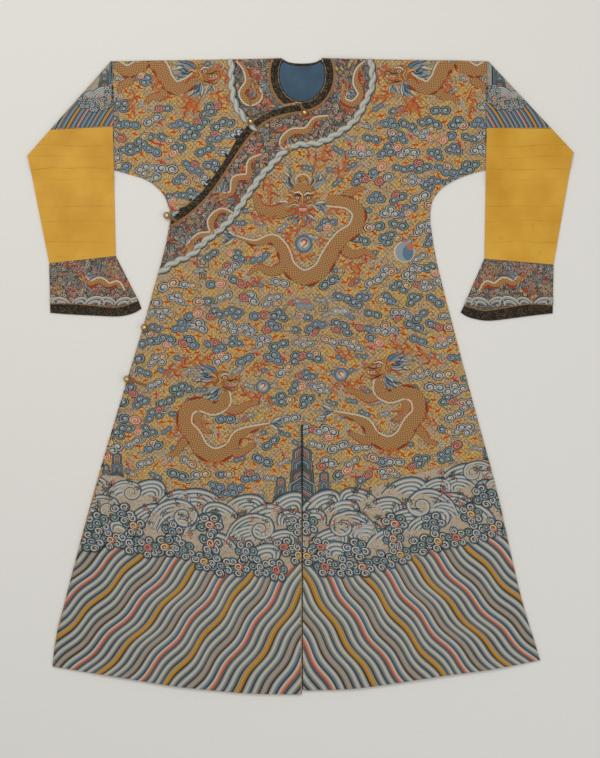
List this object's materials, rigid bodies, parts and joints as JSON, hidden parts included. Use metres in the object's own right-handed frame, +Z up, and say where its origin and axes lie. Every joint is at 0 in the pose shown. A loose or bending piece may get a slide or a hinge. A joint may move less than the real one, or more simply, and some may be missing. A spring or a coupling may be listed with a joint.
{
  "type": "chinese dragon robe",
  "caption": "Full-length silk court robe lying flat, with a side-closing front lap, round bound neck, slit skirt, and sleeves with flared cuffs folded over the front.",
  "frame": {"origin": "on the surface that the robe lies on, at the middle of its length and width", "axes": "+Y from the hem to the neck, +X to the right as seen from above the front, +Z up from the surface"},
  "size_m": [1.2282, 1.4302, 0.0176],
  "materials": {
    "ground_silk": "soft gauze sheen",
    "plain_silk": "soft satin",
    "facing_silk": "matt satin",
    "dark_brocade": "matt with gold threads",
    "gilt_braid": "ribbed, slight sheen",
    "blue_lining": "plain weave",
    "wave_silk": "satin stitch",
    "silk_cord": "soft cord",
    "gilt_brass": "worn gilt"
  },
  "bodies": {
    "root": {"body_left": "ground_silk", "body_right": "ground_silk", "button_chest": "gilt_brass", "button_neck": "gilt_brass", "button_side": "gilt_brass", "button_underarm": "gilt_brass", "button_waist": "gilt_brass", "chest_strap": "silk_cord", "front_overlap": "ground_silk", "left_cuff_back": "facing_silk", "left_cuff_binding_back": "dark_brocade", "left_cuff_binding_front": "dark_brocade", "left_cuff_braid": "gilt_braid", "left_cuff_front": "facing_silk", "left_sleeve_band_back": "wave_silk", "left_sleeve_band_front": "wave_silk", "left_sleeve_plain_back": "plain_silk", "left_sleeve_plain_front": "plain_silk", "loop_chest": "silk_cord", "loop_neck": "silk_cord", "loop_side": "silk_cord", "loop_underarm": "silk_cord", "loop_waist": "silk_cord", "neck_binding_back": "dark_brocade", "neck_binding_left": "dark_brocade", "neck_binding_right": "dark_brocade", "neck_braid_left": "gilt_braid", "neck_braid_right": "gilt_braid", "neck_facing_left": "facing_silk", "neck_facing_right": "facing_silk", "neck_lining": "blue_lining", "overlap_binding": "dark_brocade", "overlap_braid": "gilt_braid", "overlap_facing": "facing_silk", "right_cuff_back": "facing_silk", "right_cuff_binding_back": "dark_brocade", "right_cuff_binding_front": "dark_brocade", "right_cuff_braid": "gilt_braid", "right_cuff_front": "facing_silk", "right_sleeve_band_back": "wave_silk", "right_sleeve_band_front": "wave_silk", "right_sleeve_plain_back": "plain_silk", "right_sleeve_plain_front": "plain_silk"}
  },
  "joints": []
}
